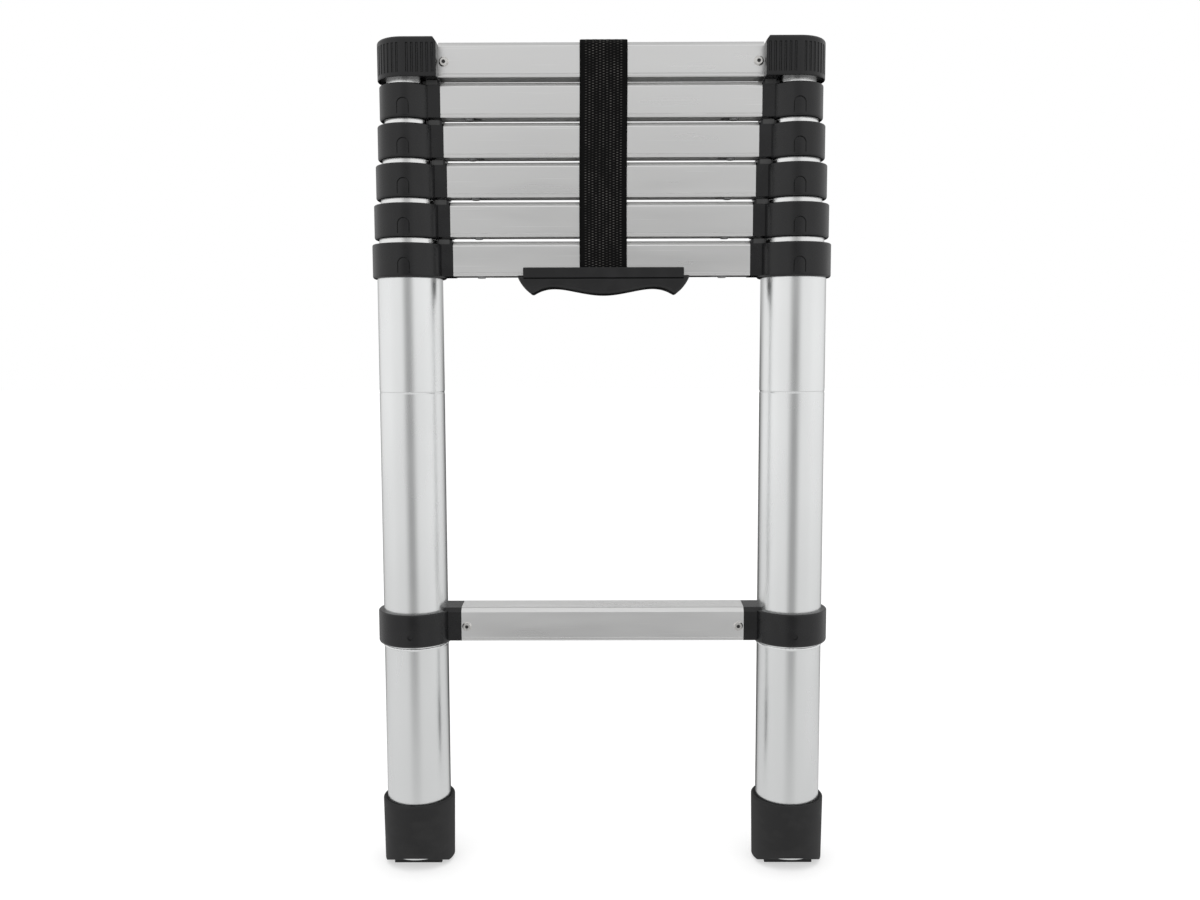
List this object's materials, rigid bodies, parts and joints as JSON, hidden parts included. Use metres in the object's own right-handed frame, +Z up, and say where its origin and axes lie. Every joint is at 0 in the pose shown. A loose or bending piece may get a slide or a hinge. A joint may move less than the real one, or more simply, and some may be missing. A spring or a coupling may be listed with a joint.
{
  "type": "telescopic extension ladder",
  "caption": "Telescopic aluminium ladder shown closed, with stacked rungs on nested round tubes, black collars, rubber feet and a carrying strap with a grip.",
  "frame": {"origin": "on the floor, midway between the two feet and on the plane of the tube axes", "axes": "+X to the climber's right, +Y away from the climber, +Z up along the tubes"},
  "size_m": [0.3746, 0.0616, 0.6791],
  "materials": {
    "foot_rubber": "matte moulded rubber",
    "outer_tube": "satin anodised drawn tube",
    "inner_tubes": "satin anodised drawn tube",
    "rung_aluminium": "satin extruded, fine lines along the length",
    "collar_nylon": "satin moulded glass-filled nylon",
    "cap_nylon": "satin moulded glass-filled nylon, fluted",
    "bush_nylon": "moulded nylon",
    "pad_elastomer": "matte grey elastomer",
    "rivet_steel": "satin steel",
    "latch_nylon": "moulded nylon slider with a steel pin",
    "spring_steel": "bright spring wire",
    "strap_webbing": "woven black webbing, 38 mm wide",
    "handle_plastic": "satin moulded grip"
  },
  "bodies": {
    "root": {"collar_1_left": "collar_nylon", "collar_1_right": "collar_nylon", "collar_2_left": "collar_nylon", "collar_2_right": "collar_nylon", "foot_left": "foot_rubber", "foot_right": "foot_rubber", "latch_springs_2": "spring_steel", "rivets_1": "rivet_steel", "rung_1": "rung_aluminium", "rung_2": "rung_aluminium", "stop_pads_2": "pad_elastomer", "strap": "strap_webbing", "strap_handle": "handle_plastic", "tube_2_left": "outer_tube", "tube_2_right": "outer_tube"},
    "section_3": {"collar_3_left": "collar_nylon", "collar_3_right": "collar_nylon", "guide_bushes_3": "bush_nylon", "latch_springs_3": "spring_steel", "rung_3": "rung_aluminium", "stop_pads_3": "pad_elastomer", "tubes_3": "inner_tubes"},
    "section_4": {"collar_4_left": "collar_nylon", "collar_4_right": "collar_nylon", "guide_bushes_4": "bush_nylon", "latch_springs_4": "spring_steel", "rung_4": "rung_aluminium", "stop_pads_4": "pad_elastomer", "tubes_4": "inner_tubes"},
    "section_5": {"collar_5_left": "collar_nylon", "collar_5_right": "collar_nylon", "guide_bushes_5": "bush_nylon", "latch_springs_5": "spring_steel", "rung_5": "rung_aluminium", "stop_pads_5": "pad_elastomer", "tubes_5": "inner_tubes"},
    "section_6": {"collar_6_left": "collar_nylon", "collar_6_right": "collar_nylon", "guide_bushes_6": "bush_nylon", "latch_springs_6": "spring_steel", "rung_6": "rung_aluminium", "stop_pads_6": "pad_elastomer", "tubes_6": "inner_tubes"},
    "section_7": {"end_cap_left": "cap_nylon", "end_cap_right": "cap_nylon", "guide_bushes_7": "bush_nylon", "rivets_7": "rivet_steel", "rung_7": "rung_aluminium", "tubes_7": "inner_tubes"},
    "latch_2_left": {"latch_2_left": "latch_nylon"},
    "latch_2_right": {"latch_2_right": "latch_nylon"},
    "latch_3_left": {"latch_3_left": "latch_nylon"},
    "latch_3_right": {"latch_3_right": "latch_nylon"},
    "latch_4_left": {"latch_4_left": "latch_nylon"},
    "latch_4_right": {"latch_4_right": "latch_nylon"},
    "latch_5_left": {"latch_5_left": "latch_nylon"},
    "latch_5_right": {"latch_5_right": "latch_nylon"},
    "latch_6_left": {"latch_6_left": "latch_nylon"},
    "latch_6_right": {"latch_6_right": "latch_nylon"}
  },
  "joints": [
    {"name": "section_3_slide", "type": "slide", "parent": "root", "child": "section_3", "axis": [0, 0, 1], "range_m": [0, 0.2687], "deforming": ["strap"]},
    {"name": "section_4_slide", "type": "slide", "parent": "section_3", "child": "section_4", "axis": [0, 0, 1], "range_m": [0, 0.2687]},
    {"name": "section_5_slide", "type": "slide", "parent": "section_4", "child": "section_5", "axis": [0, 0, 1], "range_m": [0, 0.2687]},
    {"name": "section_6_slide", "type": "slide", "parent": "section_5", "child": "section_6", "axis": [0, 0, 1], "range_m": [0, 0.2687]},
    {"name": "section_7_slide", "type": "slide", "parent": "section_6", "child": "section_7", "axis": [0, 0, 1], "range_m": [0, 0.2687]},
    {"name": "latch_2_left_slide", "type": "slide", "parent": "root", "child": "latch_2_left", "axis": [1, 0, 0], "range_m": [0, 0.006], "stiffness_N_per_m": 800, "springref_m": -0.004, "deforming": ["latch_springs_2"]},
    {"name": "latch_2_right_slide", "type": "slide", "parent": "root", "child": "latch_2_right", "axis": [-1, 0, 0], "range_m": [0, 0.006], "stiffness_N_per_m": 800, "springref_m": -0.004, "deforming": ["latch_springs_2"]},
    {"name": "latch_3_left_slide", "type": "slide", "parent": "section_3", "child": "latch_3_left", "axis": [1, 0, 0], "range_m": [0, 0.006], "stiffness_N_per_m": 800, "springref_m": -0.004, "deforming": ["latch_springs_3"]},
    {"name": "latch_3_right_slide", "type": "slide", "parent": "section_3", "child": "latch_3_right", "axis": [-1, 0, 0], "range_m": [0, 0.006], "stiffness_N_per_m": 800, "springref_m": -0.004, "deforming": ["latch_springs_3"]},
    {"name": "latch_4_left_slide", "type": "slide", "parent": "section_4", "child": "latch_4_left", "axis": [1, 0, 0], "range_m": [0, 0.006], "stiffness_N_per_m": 800, "springref_m": -0.004, "deforming": ["latch_springs_4"]},
    {"name": "latch_4_right_slide", "type": "slide", "parent": "section_4", "child": "latch_4_right", "axis": [-1, 0, 0], "range_m": [0, 0.006], "stiffness_N_per_m": 800, "springref_m": -0.004, "deforming": ["latch_springs_4"]},
    {"name": "latch_5_left_slide", "type": "slide", "parent": "section_5", "child": "latch_5_left", "axis": [1, 0, 0], "range_m": [0, 0.006], "stiffness_N_per_m": 800, "springref_m": -0.004, "deforming": ["latch_springs_5"]},
    {"name": "latch_5_right_slide", "type": "slide", "parent": "section_5", "child": "latch_5_right", "axis": [-1, 0, 0], "range_m": [0, 0.006], "stiffness_N_per_m": 800, "springref_m": -0.004, "deforming": ["latch_springs_5"]},
    {"name": "latch_6_left_slide", "type": "slide", "parent": "section_6", "child": "latch_6_left", "axis": [1, 0, 0], "range_m": [0, 0.006], "stiffness_N_per_m": 800, "springref_m": -0.004, "deforming": ["latch_springs_6"]},
    {"name": "latch_6_right_slide", "type": "slide", "parent": "section_6", "child": "latch_6_right", "axis": [-1, 0, 0], "range_m": [0, 0.006], "stiffness_N_per_m": 800, "springref_m": -0.004, "deforming": ["latch_springs_6"]}
  ]
}
